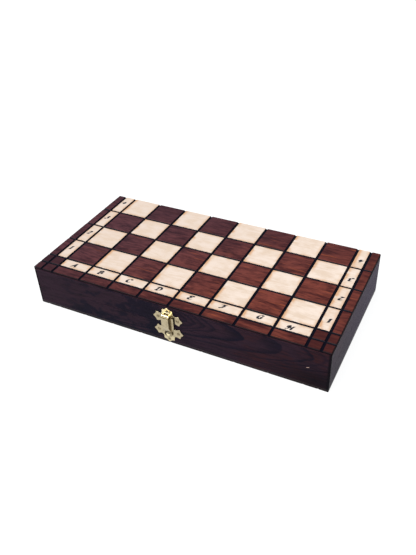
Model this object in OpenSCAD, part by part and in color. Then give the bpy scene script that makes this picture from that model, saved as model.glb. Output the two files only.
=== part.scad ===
// Folding chess box: two wooden trays, hinged along the back and held by a brass latch.
// The outside of each tray is half of the board. Millimetres, +Z up, box closed.
// X runs along the files' row, +Y from the latch to the hinges, and Z = 0 is the table.
// The origin is the middle of the footprint, with the latch and the hinge barrels counted.

/* [Board] */
// Side of one playing square, from line to line
square = 32; // [28:1:45]
// Width of the light band that carries the coordinates
coord_band = 12.8; // [9:0.2:16]
// Width of the dark border outside the band, at the left and right
side_border = 9.2; // [7:0.2:14]
// Width of the dark border outside the band, at the front
front_border = 11.2; // [8:0.2:16]
// Width of a milled line at its mouth
groove_w = 2.6; // [1.4:0.1:3.2]
// Width of a milled line at its floor
groove_floor_w = 1.2; // [0.4:0.1:1.4]
// Depth of a milled line
groove_d = 0.8; // [0.4:0.1:1.2]

/* [Case] */
// Height of the closed box
box_h = 44; // [39:1:60]
// Thickness of the top and bottom panels
panel_t = 4; // [3:0.5:6]
// Thickness of the rails round each tray
rail_t = 8; // [7.5:0.5:12]
// Radius of the rounded outer edges
edge_r = 0.8; // [0.5:0.1:1.8]
// Height of the saw cut between the two trays
seam_gap = 0.2; // [0.1:0.05:0.4]

/* [Lining] */
// Thickness of the felt on each tray's floor
lining_t = 1; // [0.6:0.1:2]
// Space between the felt's edge and the rails
lining_gap = 0.5; // [0.3:0.1:2]

/* [Hinges] */
// Length of a butt hinge along the back
hinge_l = 30; // [24:1:40]
// Distance of each hinge's middle from the side of the box
hinge_inset = 58; // [40:1:90]
// Reach of a hinge leaf, from the pin's axis to its inner edge
leaf_w = 6.4; // [5.4:0.2:6.8]
// Thickness of a hinge leaf
leaf_t = 0.8; // [0.6:0.1:1]
// Outer radius of a hinge knuckle
knuckle_r = 1.7; // [1.5:0.1:2]
// Radius of a hinge pin
hinge_pin_r = 0.8; // [0.6:0.05:0.9]
// Height of the pin's axis outside the back face
hinge_offset = 0.15; // [0.1:0.05:0.5]
// Length of a hinge nail, with its head
hinge_nail_l = 8; // [5:0.5:12]
// Radius of a hinge nail's shank
hinge_nail_r = 0.6; // [0.4:0.1:0.8]
// Radius of a hinge nail's countersunk head
hinge_head_r = 1.3; // [1:0.1:1.5]
// Distance of each hinge nail from the hinge's middle
hinge_nail_x = 10; // [6:0.5:11]

/* [Latch plates] */
// Distance of the latch's upright line to the right of the box's middle
latch_x = -0.7; // [-40:0.1:40]
// Height of the saw cut above the latch's middle
latch_drop = 0.5; // [0:0.1:1.4]
// Thickness of the latch's two plates
plate_t = 0.6; // [0.4:0.1:0.9]
// Half the width of a plate's middle
plate_half_w = 5.2; // [4.8:0.1:6]
// Distance of the side lobes' middles above and below the latch's middle
side_lobe_z = 7.5; // [6.6:0.1:7.9]
// Distance from the latch's upright line to a side lobe's upper and lower points
side_point_x = 10.9; // [10:0.1:12]
// Distance from the latch's upright line to a side lobe's outer point
side_reach = 14.7; // [13.6:0.1:16]
// Distance from a side lobe's middle to its upper and lower points
lobe_r = 5.1; // [4.4:0.1:5.5]
// Distance from the latch's upright line to an end lobe's side points
end_point_x = 5.3; // [4.8:0.1:6]
// Distance from an end lobe's side points to its outer point
end_lobe_out = 3.2; // [2.6:0.1:4]
// Width of each blunt point
point_w = 1.2; // [0.6:0.1:1.6]
// Height of the bottom lobe's outer point above the table
lobe_rise = 2.0; // [0.2:0.1:2.4]
// Distance of the side nails from the latch's upright line
side_nail_x = 10; // [9:0.1:11]
// Radius of a latch nail's domed head
nail_head_r = 1.15; // [0.9:0.05:1.3]
// Height of a latch nail's domed head
nail_head_h = 0.6; // [0.3:0.05:0.7]
// Radius of a latch nail's shank
nail_r = 0.5; // [0.4:0.05:0.7]
// Length of a latch nail in the wood
nail_l = 6; // [4:0.5:7]

/* [Latch hasp] */
// Distance of the hasp's pin from the front face
hasp_axis_d = 4.2; // [3.8:0.1:4.8]
// Distance of the hasp's pin below the top lobe's side points
hasp_axis_drop = 3.5; // [3.3:0.1:4]
// Outer radius of the hasp's barrel
hasp_knuckle_r = 1.5; // [1.3:0.05:1.7]
// Half the length of the hasp's barrel
hasp_half_l = 2.4; // [2:0.1:2.8]
// Radius of the hasp's pin
hasp_pin_r = 0.7; // [0.5:0.05:0.8]
// Width of the ear at each end of the hasp's barrel
ear_w = 1.2; // [1:0.1:1.6]
// Thickness of the hasp's sheet
hasp_sheet = 0.5; // [0.4:0.05:0.6]
// Distance of the raised strap's inner side in front of the hasp's pin
strap_out = 1.35; // [1:0.05:1.5]
// Half the width of the hasp's raised strap
strap_half_w = 3.6; // [3.3:0.05:3.9]
// Half the width of the hasp across its flat margins
margin_half_w = 6.1; // [5.6:0.1:6.6]
// Radius of the hasp's round end
tab_r = 4.1; // [3.8:0.1:4.3]
// Height of the round end's middle above the bottom lobe's side points
tab_rise = 6.7; // [6.2:0.1:7.2]
// Height of the strap's lower edge above the round end's middle
strap_rise = 10.4; // [9:0.1:11]
// Height of the slope between the strap and the round end
slope_h = 7.4; // [6.8:0.1:8]
// Radius of the boss on the round end
boss_r = 2.2; // [1.8:0.1:2.6]
// Height of the boss on the round end
boss_h = 1.1; // [0.6:0.1:1.4]

/* [Hidden] */
// Clearances: pins in barrels, nails in holes, the wood between a nail and the panel's joint,
// recesses, and metal that swings past metal
pin_fit = 0.05;
nail_fit = 0.03;
nail_edge = 0.5;
recess_gap = 0.1;
knuckle_gap = 0.2;
swing_gap = 0.35;
cut = 1;

// The outline of the closed box
half_w = 4 * square + coord_band + side_border;
box_d = 4 * square + coord_band + front_border;
strap_back = hasp_axis_d + strap_out;
strap_front = strap_back + hasp_sheet;
hinge_reach = hinge_offset + knuckle_r;
front_y = (strap_front - hinge_reach - box_d) / 2;
back_y = front_y + box_d;

// The heights of the upper tray, which the lower tray mirrors about the saw cut
seam_z = box_h / 2;
rim_z = seam_z + seam_gap / 2;
floor_z = box_h - panel_t;

// The milled lines: one round every square, and one between the band and the border
file_lines = concat([for (i = [-4:4]) i * square],
                    [-(4 * square + coord_band), 4 * square + coord_band]);
rank_lines = concat([for (i = [1:4]) back_y - i * square],
                    [back_y - 4 * square - coord_band]);

// The hinges and their nails
hinge_x = half_w - hinge_inset;
hinge_y = back_y + hinge_offset;
hinge_bore_r = hinge_pin_r + pin_fit;
leaf_root = (hinge_bore_r + knuckle_r) / 2;
hinge_nail_y = hinge_y - (leaf_w + knuckle_r + swing_gap) / 2;

// The latch, in its own plane: x across, y up, z out of the front face
latch_z = seam_z - latch_drop;
end_lobe_z = latch_z - end_lobe_out - lobe_rise;
end_nail_z = min(end_lobe_z, latch_z - panel_t - nail_r - nail_edge);
latch_nails = [[-side_nail_x, side_lobe_z], [side_nail_x, side_lobe_z], [0, end_nail_z]];
plate_gap = 0.2;
neck_half_h = 4;

// How far the plates' edge sags between two points
lobe_sag = 0.6;
neck_sag = 0.5;
notch_sag = 2.4;

// The hasp's heights in the latch's plane, and its distances from the front face
hasp_axis_z = end_lobe_z - hasp_axis_drop;
hasp_bore_r = hasp_pin_r + pin_fit;
ear_in = hasp_half_l + 0.1;
ear_half_h = 1.2;
swing_r = hasp_knuckle_r + swing_gap;
strap_top = hasp_axis_z - sqrt(swing_r * swing_r - strap_out * strap_out);
strap_inner = strap_half_w - hasp_sheet;
margin_back = plate_t + 0.4;
margin_front = margin_back + 0.6;
margin_top = hasp_axis_z - hasp_knuckle_r - 1.9;
tab_drop = end_lobe_z - tab_rise;
strap_foot = strap_rise - tab_drop;
margin_foot = strap_foot - 2.5;
slope_foot = strap_foot - slope_h;
stud_r = 1.4;
stud_h = 0.6;
tab_back = plate_t + stud_h + 0.3;
tab_front = tab_back + hasp_sheet;
dimple_r = stud_r + 0.3;
dimple_d = hasp_sheet - 0.25;

arc_steps = 4;
sag_steps = 6;
round_fn = 48;

// Colours as the box is finished
mahogany = "#5d2a26";
dark_stain = "#2c1c22";
felt_green = "#2f4a36";
brass = "#c9b173";

// ---------- helpers ----------

// Points on a quarter of a circle
function quarter(cx, cy, r, start) =
    [for (i = [0:arc_steps]) let (a = start + 90 * i / arc_steps)
        [cx + r * cos(a), cy + r * sin(a)]];

// Points from a to b on a curve that sags to the left of its way
function hollow(a, b, sag) =
    let (way = b - a, left = [-way[1], way[0]] / norm(way))
        [for (i = [0:sag_steps]) let (t = i / sag_steps)
            a + t * way + 4 * t * (1 - t) * sag * left];

// Puts what is made for the upper tray on the lower one
module turned_over() {
    translate([0, 0, box_h])
        mirror([0, 0, 1])
            children();
}

// Stands the latch's plane up against the front face
module on_front() {
    translate([latch_x, front_y, latch_z])
        rotate([90, 0, 0])
            children();
}

// A round bar along X, centred on x
module bar_x(x, y, z, r, l) {
    translate([x - l / 2, y, z])
        rotate([0, 90, 0])
            cylinder(r = r, h = l, $fn = round_fn);
}

// A domed head that stands on z = 0
module dome(base_r, rise) {
    ball_r = (base_r * base_r + rise * rise) / (2 * rise);
    intersection() {
        translate([0, 0, rise - ball_r])
            sphere(r = ball_r, $fn = round_fn);
        cylinder(r = base_r + cut, h = rise + cut, $fn = round_fn);
    }
}

// ---------- trays ----------

// The box from above, with rounded corners
module case_outline() {
    polygon(concat(quarter(half_w - edge_r, back_y - edge_r, edge_r, 0),
                   quarter(-half_w + edge_r, back_y - edge_r, edge_r, 90),
                   quarter(-half_w + edge_r, front_y + edge_r, edge_r, 180),
                   quarter(half_w - edge_r, front_y + edge_r, edge_r, 270)));
}

// A milled line, as a tapered channel along X
module groove(l) {
    rotate([90, 0, 90])
        linear_extrude(height = l, center = true)
            polygon([[-groove_floor_w / 2, -groove_d], [groove_floor_w / 2, -groove_d],
                     [groove_w / 2, 0], [groove_w / 2, cut], [-groove_w / 2, cut],
                     [-groove_w / 2, 0]]);
}

// Half of the board, with its playing face up. The edge that meets the other half is square
module board_panel() {
    difference() {
        intersection() {
            translate([0, 0, floor_z])
                linear_extrude(height = panel_t)
                    case_outline();
            rotate([90, 0, 90])
                linear_extrude(height = 2 * half_w, center = true)
                    polygon(concat([[front_y, floor_z], [back_y, floor_z], [back_y, box_h]],
                                   quarter(front_y + edge_r, box_h - edge_r, edge_r, 90)));
            translate([0, back_y, 0])
                rotate([90, 0, 0])
                    linear_extrude(height = box_d)
                        polygon(concat([[-half_w, floor_z], [half_w, floor_z]],
                                       quarter(half_w - edge_r, box_h - edge_r, edge_r, 0),
                                       quarter(-half_w + edge_r, box_h - edge_r, edge_r, 90)));
        }
        for (x = file_lines)
            translate([x, (front_y + back_y) / 2, box_h])
                rotate([0, 0, 90])
                    groove(box_d + 2 * cut);
        for (y = rank_lines)
            translate([0, y, box_h])
                groove(2 * half_w + 2 * cut);
    }
}

// A rail of the upper tray, cut to its mitred outline
module rail(mitred) {
    translate([0, 0, rim_z])
        linear_extrude(height = floor_z - rim_z)
            intersection() {
                case_outline();
                polygon(mitred);
            }
}

module front_rail() {
    rail([[-half_w, front_y], [half_w, front_y],
          [half_w - rail_t, front_y + rail_t], [-half_w + rail_t, front_y + rail_t]]);
}

module back_rail() {
    difference() {
        rail([[-half_w, back_y], [half_w, back_y],
              [half_w - rail_t, back_y - rail_t], [-half_w + rail_t, back_y - rail_t]]);
        for (side = [-1, 1])
            translate([side * hinge_x, 0, 0])
                hinge_seat();
    }
}

module side_rail(side) {
    rail([[side * half_w, front_y], [side * half_w, back_y],
          [side * (half_w - rail_t), back_y - rail_t],
          [side * (half_w - rail_t), front_y + rail_t]]);
}

module lining() {
    translate([-half_w + rail_t + lining_gap, front_y + rail_t + lining_gap,
               floor_z - lining_t])
        cube([2 * (half_w - rail_t - lining_gap), box_d - 2 * (rail_t + lining_gap), lining_t]);
}

// ---------- hinges ----------

// What is cut from a back rail for one hinge: leaf, barrel and nails
module hinge_seat() {
    leaf_l = hinge_l + 2 * recess_gap;
    barrel_room = knuckle_r + swing_gap;
    translate([-leaf_l / 2, hinge_y - leaf_w - recess_gap, rim_z - cut])
        cube([leaf_l, leaf_w + recess_gap + cut, cut + leaf_t]);
    translate([-leaf_l / 2, hinge_y - barrel_room, rim_z - cut])
        cube([leaf_l, barrel_room + cut, seam_z + barrel_room - rim_z + cut]);
    for (side = [-1, 1])
        translate([side * hinge_nail_x, hinge_nail_y, rim_z - cut])
            cylinder(r = hinge_nail_r + nail_fit, h = hinge_nail_l + cut + nail_fit,
                     $fn = round_fn);
}

// A hinge nail of the upper tray. Its head is flush with the leaf, which faces down
module hinge_nail(fit) {
    translate([0, 0, rim_z]) {
        cylinder(r1 = hinge_head_r + fit, r2 = hinge_nail_r + fit, h = leaf_t,
                 $fn = round_fn);
        cylinder(r = hinge_nail_r + fit, h = hinge_nail_l, $fn = round_fn);
    }
}

// The nail's hole in a leaf
module hinge_nail_hole() {
    hinge_nail(nail_fit);
    translate([0, 0, rim_z - cut])
        cylinder(r = hinge_head_r + nail_fit, h = cut, $fn = round_fn);
}

// A leaf of the upper tray. Each knuckle is its middle's place and its length
module hinge_leaf(knuckles) {
    free_w = leaf_w - knuckle_r - knuckle_gap;
    difference() {
        union() {
            translate([-hinge_l / 2, hinge_y - leaf_w, rim_z])
                cube([hinge_l, free_w, leaf_t]);
            for (k = knuckles) {
                translate([k[0] - k[1] / 2, hinge_y - leaf_w, rim_z])
                    cube([k[1], leaf_w - leaf_root, leaf_t]);
                bar_x(k[0], hinge_y, seam_z, knuckle_r, k[1]);
            }
        }
        bar_x(0, hinge_y, seam_z, hinge_bore_r, hinge_l + cut);
        for (side = [-1, 1])
            translate([side * hinge_nail_x, hinge_nail_y, 0])
                hinge_nail_hole();
    }
}

// The upper leaf has the middle knuckle, and the lower leaf the outer two
module upper_leaf() {
    hinge_leaf([[0, hinge_l / 3 - knuckle_gap]]);
}

module lower_leaf() {
    outer_l = hinge_l / 3 - knuckle_gap / 2;
    turned_over()
        hinge_leaf([for (side = [-1, 1]) [side * (hinge_l - outer_l) / 2, outer_l]]);
}

module hinge_nails() {
    for (side = [-1, 1], end = [-1, 1])
        translate([side * hinge_x + end * hinge_nail_x, hinge_nail_y, 0])
            hinge_nail(0);
}

// ---------- latch ----------

// The right half of the upper plate's outline, upwards from its middle's lower edge
function plate_half(edge) =
    let (low = side_lobe_z - lobe_r, high = side_lobe_z + lobe_r, p = point_w / 2)
        concat([[plate_half_w, edge]],
               hollow([plate_half_w, side_lobe_z - neck_half_h], [side_point_x - p, low], neck_sag),
               hollow([side_point_x + p, low], [side_reach, side_lobe_z - p], lobe_sag),
               hollow([side_reach, side_lobe_z + p], [side_point_x + p, high], lobe_sag),
               hollow([side_point_x - p, high], [end_point_x, end_lobe_z - p], notch_sag),
               hollow([end_point_x, end_lobe_z + p], [p, end_lobe_z + end_lobe_out], lobe_sag));

// The upper plate's outline: a middle, two side lobes and an end lobe, with hollow edges
module plate_outline(edge) {
    half = plate_half(edge);
    last = len(half) - 1;
    polygon(concat(half, [for (i = [0:last]) [-half[last - i][0], half[last - i][1]]]));
}

// The holes that a plate's nails pass through
module plate_holes() {
    for (place = latch_nails)
        translate([place[0], place[1], -cut])
            cylinder(r = nail_r + nail_fit, h = plate_t + 2 * cut, $fn = round_fn);
}

// The holes that the nails make in the wood
module pilot_holes() {
    for (place = latch_nails)
        translate([place[0], place[1], -nail_l - nail_fit])
            cylinder(r = nail_r + nail_fit, h = nail_l + cut, $fn = round_fn);
}

// Turns the upper plate's plane over for the lower plate
module plate_turned_over() {
    mirror([0, 1, 0])
        children();
}

module latch_nail_set() {
    for (place = latch_nails)
        translate([place[0], place[1], 0]) {
            translate([0, 0, plate_t])
                dome(nail_head_r, nail_head_h);
            translate([0, 0, -nail_l])
                cylinder(r = nail_r, h = nail_l + plate_t, $fn = round_fn);
        }
}

// The ears stand on the upper plate and hold the hasp's pin
module upper_plate() {
    seam_y = seam_z - latch_z;
    difference() {
        union() {
            linear_extrude(height = plate_t)
                plate_outline(seam_y + plate_gap);
            for (side = [-1, 1]) {
                translate([side * (ear_in + ear_w / 2) - ear_w / 2, hasp_axis_z - ear_half_h, 0])
                    cube([ear_w, 2 * ear_half_h, hasp_axis_d]);
                bar_x(side * (ear_in + ear_w / 2), hasp_axis_z, hasp_axis_d,
                      hasp_knuckle_r, ear_w);
            }
        }
        plate_holes();
        bar_x(0, hasp_axis_z, hasp_axis_d, hasp_bore_r, 2 * (ear_in + ear_w) + cut);
    }
}

// The stud stands on the lower plate behind the hasp's round end
module lower_plate() {
    seam_y = seam_z - latch_z;
    plate_turned_over()
        difference() {
            linear_extrude(height = plate_t)
                plate_outline(plate_gap - seam_y);
            plate_holes();
        }
    translate([0, -tab_drop, plate_t])
        dome(stud_r, stud_h);
}

// A shape drawn as height and distance from the front face, and given a width along X
module side_shape(width, points) {
    rotate([90, 0, 90])
        linear_extrude(height = width, center = true)
            polygon(points);
}

// The raised strap with its slope, and the wall that carries it on each side
module strap() {
    side_shape(2 * strap_half_w,
               [[strap_top, strap_back], [strap_top, strap_front], [strap_foot, strap_front],
                [slope_foot, tab_front], [slope_foot, tab_back], [strap_foot, strap_back]]);
    for (side = [-1, 1])
        translate([side * (strap_half_w - hasp_sheet / 2), 0, 0])
            side_shape(hasp_sheet,
                       [[margin_top, margin_back], [strap_top, strap_front],
                        [strap_foot, strap_front], [slope_foot, tab_front],
                        [slope_foot, margin_back]]);
}

// A flat margin beside the strap, which narrows into the round end
module margin(side) {
    foot = slope_foot - hasp_sheet;
    translate([0, 0, margin_back])
        linear_extrude(height = margin_front - margin_back)
            polygon([[side * strap_inner, margin_top], [side * margin_half_w, margin_top],
                     [side * margin_half_w, margin_foot], [side * strap_half_w, foot],
                     [side * strap_inner, foot]]);
}

// The web runs from inside the strap's upper edge to the barrel's front
module barrel_web() {
    side_shape(2 * hasp_half_l,
               [[strap_top - 1.2, strap_back], [strap_top - 0.3, strap_back + 0.1],
                [hasp_axis_z - 0.3, hasp_axis_d + hasp_knuckle_r - 0.1],
                [hasp_axis_z - 1.1, hasp_axis_d + 0.8]]);
}

module hasp() {
    difference() {
        union() {
            bar_x(0, hasp_axis_z, hasp_axis_d, hasp_knuckle_r, 2 * hasp_half_l);
            barrel_web();
            strap();
            for (side = [-1, 1])
                margin(side);
            translate([0, -tab_drop, tab_back])
                cylinder(r = tab_r, h = hasp_sheet, $fn = round_fn);
            translate([0, -tab_drop, tab_front])
                dome(boss_r, boss_h);
        }
        bar_x(0, hasp_axis_z, hasp_axis_d, hasp_bore_r, 2 * hasp_half_l + cut);
        translate([0, -tab_drop, tab_back - cut])
            cylinder(r = dimple_r, h = cut + dimple_d, $fn = round_fn);
    }
}

// ---------- pieces ----------

module lower_panel() color(mahogany) turned_over() board_panel();
module lower_front_rail() {
    color(dark_stain)
        difference() {
            turned_over() front_rail();
            on_front() plate_turned_over() pilot_holes();
        }
}
module lower_back_rail() color(dark_stain) turned_over() back_rail();
module lower_left_rail() color(dark_stain) turned_over() side_rail(-1);
module lower_right_rail() color(dark_stain) turned_over() side_rail(1);
module lower_lining() color(felt_green) turned_over() lining();

module upper_panel() color(mahogany) board_panel();
module upper_front_rail() {
    color(dark_stain)
        difference() {
            front_rail();
            on_front() pilot_holes();
        }
}
module upper_back_rail() color(dark_stain) back_rail();
module upper_left_rail() color(dark_stain) side_rail(-1);
module upper_right_rail() color(dark_stain) side_rail(1);
module upper_lining() color(felt_green) lining();

module left_hinge_lower_leaf() color(brass) translate([-hinge_x, 0, 0]) lower_leaf();
module left_hinge_upper_leaf() color(brass) translate([-hinge_x, 0, 0]) upper_leaf();
module left_hinge_pin() color(brass) bar_x(-hinge_x, hinge_y, seam_z, hinge_pin_r, hinge_l);
module right_hinge_lower_leaf() color(brass) translate([hinge_x, 0, 0]) lower_leaf();
module right_hinge_upper_leaf() color(brass) translate([hinge_x, 0, 0]) upper_leaf();
module right_hinge_pin() color(brass) bar_x(hinge_x, hinge_y, seam_z, hinge_pin_r, hinge_l);
module lower_hinge_nails() color(brass) turned_over() hinge_nails();
module upper_hinge_nails() color(brass) hinge_nails();

module latch_upper_plate() color(brass) on_front() upper_plate();
module latch_lower_plate() color(brass) on_front() lower_plate();
module latch_hasp() color(brass) on_front() hasp();
module latch_pin() {
    color(brass)
        on_front()
            bar_x(0, hasp_axis_z, hasp_axis_d, hasp_pin_r, 2 * (ear_in + ear_w));
}
module latch_upper_nails() color(brass) on_front() latch_nail_set();
module latch_lower_nails() color(brass) on_front() plate_turned_over() latch_nail_set();

lower_panel();
lower_front_rail();
lower_back_rail();
lower_left_rail();
lower_right_rail();
lower_lining();
upper_panel();
upper_front_rail();
upper_back_rail();
upper_left_rail();
upper_right_rail();
upper_lining();
left_hinge_lower_leaf();
left_hinge_upper_leaf();
left_hinge_pin();
right_hinge_lower_leaf();
right_hinge_upper_leaf();
right_hinge_pin();
lower_hinge_nails();
upper_hinge_nails();
latch_upper_plate();
latch_lower_plate();
latch_hasp();
latch_pin();
latch_upper_nails();
latch_lower_nails();
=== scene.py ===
# %% [markdown]
# # A folding chess box
#
# The box is two shallow wooden trays, hinged along the back. The outside of each tray is half
# of the chess board, so the box lies open, face up, for a game. The construction comes from
# the frame, already at its real size. This lesson gives it its looks: the stained and
# lacquered wood, the black milled lines, the written coordinates, the felt and the brass.

import math

import bpy
from mathutils import Matrix, Vector


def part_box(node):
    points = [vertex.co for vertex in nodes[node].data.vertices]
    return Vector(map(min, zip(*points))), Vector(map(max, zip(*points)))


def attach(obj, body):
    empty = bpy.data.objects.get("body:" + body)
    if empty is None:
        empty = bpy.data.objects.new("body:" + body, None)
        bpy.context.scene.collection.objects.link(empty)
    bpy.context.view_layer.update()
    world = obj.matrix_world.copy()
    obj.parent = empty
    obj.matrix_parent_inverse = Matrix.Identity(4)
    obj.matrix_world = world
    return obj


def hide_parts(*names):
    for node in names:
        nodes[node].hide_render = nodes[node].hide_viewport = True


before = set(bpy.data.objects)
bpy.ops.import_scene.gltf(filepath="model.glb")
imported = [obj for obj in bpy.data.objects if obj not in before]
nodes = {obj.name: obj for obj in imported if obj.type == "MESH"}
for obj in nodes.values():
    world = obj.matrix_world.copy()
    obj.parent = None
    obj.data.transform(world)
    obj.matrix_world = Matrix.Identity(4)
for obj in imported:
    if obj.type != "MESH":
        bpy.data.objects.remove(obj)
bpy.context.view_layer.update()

# %% [markdown]
# ## The sizes that the looks need
#
# A finish has to know where the squares are, so we name the few sizes of the board's pattern
# and read all the rest from the frame. They are in millimetres, as a joiner writes them.
# Meshes are made in metres, so they are scaled by MM. One tray shows eight files and four
# ranks of squares.

# %% Sizes
MM = 0.001
SQUARE = 32
BAND = 12.8
FILES = 8
RANKS = 4


def corners(node):
    """A piece's lowest and highest corner, in millimetres."""
    low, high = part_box(node)
    return low / MM, high / MM


panel_low, panel_high = corners("upper_panel")
half_w = panel_high.x
front_y = panel_low.y
back_y = panel_high.y
top_z = panel_high.z
board_x = FILES / 2 * SQUARE
board_y = back_y - RANKS * SQUARE
band_x = board_x + BAND
band_y = board_y - BAND
print("case %.0f x %.0f x %.0f mm" % (2 * half_w, back_y - front_y, top_z))

# %% [markdown]
# ## Camera
#
# The photograph was taken from the front right, at about the height of a person who leans
# over a table. We give the camera as a photographer would: which way round the box it
# stands, how high, how far, where it aims and how much it is tilted. Five values like these
# are easier to change than a matrix. The sensor's 36 mm run along the picture's long side.

# %% Camera
CAMERA_AZIMUTH = 28.48
CAMERA_ELEVATION = 36.35
CAMERA_ROLL = -2.91
CAMERA_DISTANCE = 613.6
CAMERA_AIM = Vector((0.62, 2.7, 23))
LENS = 40.31
SENSOR = 36
NEAREST_SEEN = 10


def stand_camera():
    """Makes the camera and aims it at the box."""
    data = bpy.data.cameras.new("camera")
    data.lens = LENS
    data.sensor_width = SENSOR
    data.clip_start = NEAREST_SEEN * MM
    camera = bpy.data.objects.new("camera", data)
    bpy.context.scene.collection.objects.link(camera)
    turn = (Matrix.Rotation(math.radians(CAMERA_AZIMUTH), 4, "Z")
            @ Matrix.Rotation(math.radians(90 - CAMERA_ELEVATION), 4, "X")
            @ Matrix.Rotation(math.radians(CAMERA_ROLL), 4, "Z"))
    place = CAMERA_AIM + turn.to_3x3() @ Vector((0, 0, CAMERA_DISTANCE))
    camera.matrix_world = Matrix.Translation(place * MM) @ turn
    bpy.context.scene.camera = camera
    return place


print("camera at", [round(c) for c in stand_camera()], "mm")

# %% [markdown]
# ## Numbers that change over a surface
#
# Wood is a sum of small effects: broad bands, fine fibres, pores, stain that gathers in
# corners. Blender adds such effects with nodes, and wiring each node by hand hides the idea.
# So we wrap a node's output in a small class that knows the signs of arithmetic. A finish
# then reads like a formula, and Blender still gets plain nodes.
#
# Most effects start or stop softly at some place, and these places are named values. Two
# numbers are for ease: where an effect starts, and where it is full. Four are for between:
# the ends of its full part, and the lengths over which it comes and goes.


# %% The number class
class Num:
    """A number that differs from point to point. Arithmetic on it adds math nodes."""

    def __init__(self, tree, socket):
        self.tree = tree
        self.socket = socket

    def op(self, kind, *others):
        """Adds one math node, fed with this number and the others."""
        node = self.tree.nodes.new("ShaderNodeMath")
        node.operation = kind
        for socket, value in zip(node.inputs, (self, *others)):
            feed(self.tree, socket, value)
        return Num(self.tree, node.outputs[0])

    def __add__(self, other):
        return self.op("ADD", other)

    def __sub__(self, other):
        return self.op("SUBTRACT", other)

    def __mul__(self, other):
        return self.op("MULTIPLY", other)

    def __truediv__(self, other):
        return self.op("DIVIDE", other)

    def __rsub__(self, other):
        return self.op("MULTIPLY", -1).op("ADD", other)

    def __abs__(self):
        return self.op("ABSOLUTE")

    def floor(self):
        return self.op("FLOOR")

    def least(self, other):
        return self.op("MINIMUM", other)

    def most(self, other):
        return self.op("MAXIMUM", other)

    def under(self, limit):
        return self.op("LESS_THAN", limit)

    def over(self, limit):
        return self.op("GREATER_THAN", limit)

    def nearest(self, step, low, high):
        """The nearest multiple of step, from low to high times it."""
        return (self / step).op("ROUND").most(low).least(high) * step

    def ease(self, start, end, low=0.0, high=1.0):
        """Goes smoothly from low at start to high at end."""
        node = self.tree.nodes.new("ShaderNodeMapRange")
        node.interpolation_type = "SMOOTHSTEP"
        for name, value in {"Value": self, "From Min": start, "From Max": end,
                            "To Min": low, "To Max": high}.items():
            feed(self.tree, node.inputs[name], value)
        return Num(self.tree, node.outputs["Result"])

    def between(self, low, high, before, after):
        """1 from low to high. It rises over the length before, and falls over after."""
        return self.ease(low - before, low) * self.ease(high + after, high)

    __radd__ = __add__
    __rmul__ = __mul__


def feed(tree, socket, value):
    """Sets a socket to a constant, or links it to a number's node."""
    if isinstance(value, Num):
        tree.links.new(value.socket, socket)
    elif isinstance(value, bpy.types.NodeSocket):
        tree.links.new(value, socket)
    elif socket.type == "RGBA":
        socket.default_value = (*value, 1)
    else:
        socket.default_value = value


print("a number knows:", [name for name in vars(Num) if not name.startswith("_")])

# %% [markdown]
# ## A finish
#
# Every material here starts from the same four things: the place of a point in millimetres,
# noise of a given grain size, a way to mix colours, and a way to raise the surface. Object
# coordinates are used because they belong to the piece. The figure runs on from one piece to
# the next where the real wood does, and it goes along when a tray is opened.


# %% The finish class
class Finish:
    """One material, with helpers that work in millimetres."""

    def __init__(self, name):
        self.material = bpy.data.materials.new(name)
        self.material.use_nodes = True
        self.tree = self.material.node_tree
        self.shader = self.tree.nodes["Principled BSDF"]
        place = self.tree.nodes.new("ShaderNodeTexCoord")
        split = self.tree.nodes.new("ShaderNodeSeparateXYZ")
        self.tree.links.new(place.outputs["Object"], split.inputs[0])
        self.x, self.y, self.z = (Num(self.tree, s) / MM for s in split.outputs)

    def noise(self, size, detail=2.0, rough=0.5, shift=0.0, place=None):
        """Noise from 0 to 1 whose lumps are about size millimetres long, wide and high."""
        join = self.tree.nodes.new("ShaderNodeCombineXYZ")
        for socket, value, length in zip(join.inputs, place or (self.x, self.y, self.z), size):
            feed(self.tree, socket, value / length + shift)
        node = self.tree.nodes.new("ShaderNodeTexNoise")
        node.inputs["Scale"].default_value = 1
        node.inputs["Detail"].default_value = detail
        node.inputs["Roughness"].default_value = rough
        self.tree.links.new(join.outputs[0], node.inputs["Vector"])
        return Num(self.tree, node.outputs[0])

    def mix(self, first, second, share):
        """The first colour where share is 0, and the second where it is 1."""
        node = self.tree.nodes.new("ShaderNodeMix")
        node.data_type = "RGBA"
        for name, value in (("Factor_Float", share), ("A_Color", first), ("B_Color", second)):
            socket = next(s for s in node.inputs if s.identifier == name)
            feed(self.tree, socket, value)
        return next(s for s in node.outputs if s.identifier == "Result_Color")

    def relief(self, height, depth):
        """Raises the surface by height times depth millimetres, over any earlier relief."""
        node = self.tree.nodes.new("ShaderNodeBump")
        node.inputs["Distance"].default_value = depth * MM
        feed(self.tree, node.inputs["Height"], height)
        shader_normal = self.shader.inputs["Normal"]
        if shader_normal.is_linked:
            self.tree.links.new(shader_normal.links[0].from_socket, node.inputs["Normal"])
        self.tree.links.new(node.outputs[0], shader_normal)

    def set(self, **values):
        """Sets the shader's inputs, such as base_color or roughness."""
        for name, value in values.items():
            feed(self.tree, self.shader.inputs[name.replace("_", " ").title()
                                               .replace("Ior", "IOR")], value)


print("a finish knows:", [name for name in vars(Finish) if not name.startswith("_")])

# %% [markdown]
# ## The figure of the sides
#
# The case is made as a closed box, stained nearly black and then sawn apart at the seam, so
# the figure crosses the saw cut without a break. To the right of the latch the boards show
# flat-sawn figure: nested arches that open to the left. An arch is a parabola, so one
# formula gives them all: a point belongs to the arch whose tip lies at
# x + curve * (height from the figure's middle) squared. Each growth ring is a place on that
# scale, dark at its tip and fading to the left. The height wanders and the rings ripple by a
# few millimetres, because no tree grows evenly.

# %% Side figure
ARCH_MIDDLE = 33
ARCH_CURVE = 0.17
WANDER = 9
RIPPLE = 13
RING_EDGE = 1.6
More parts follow.
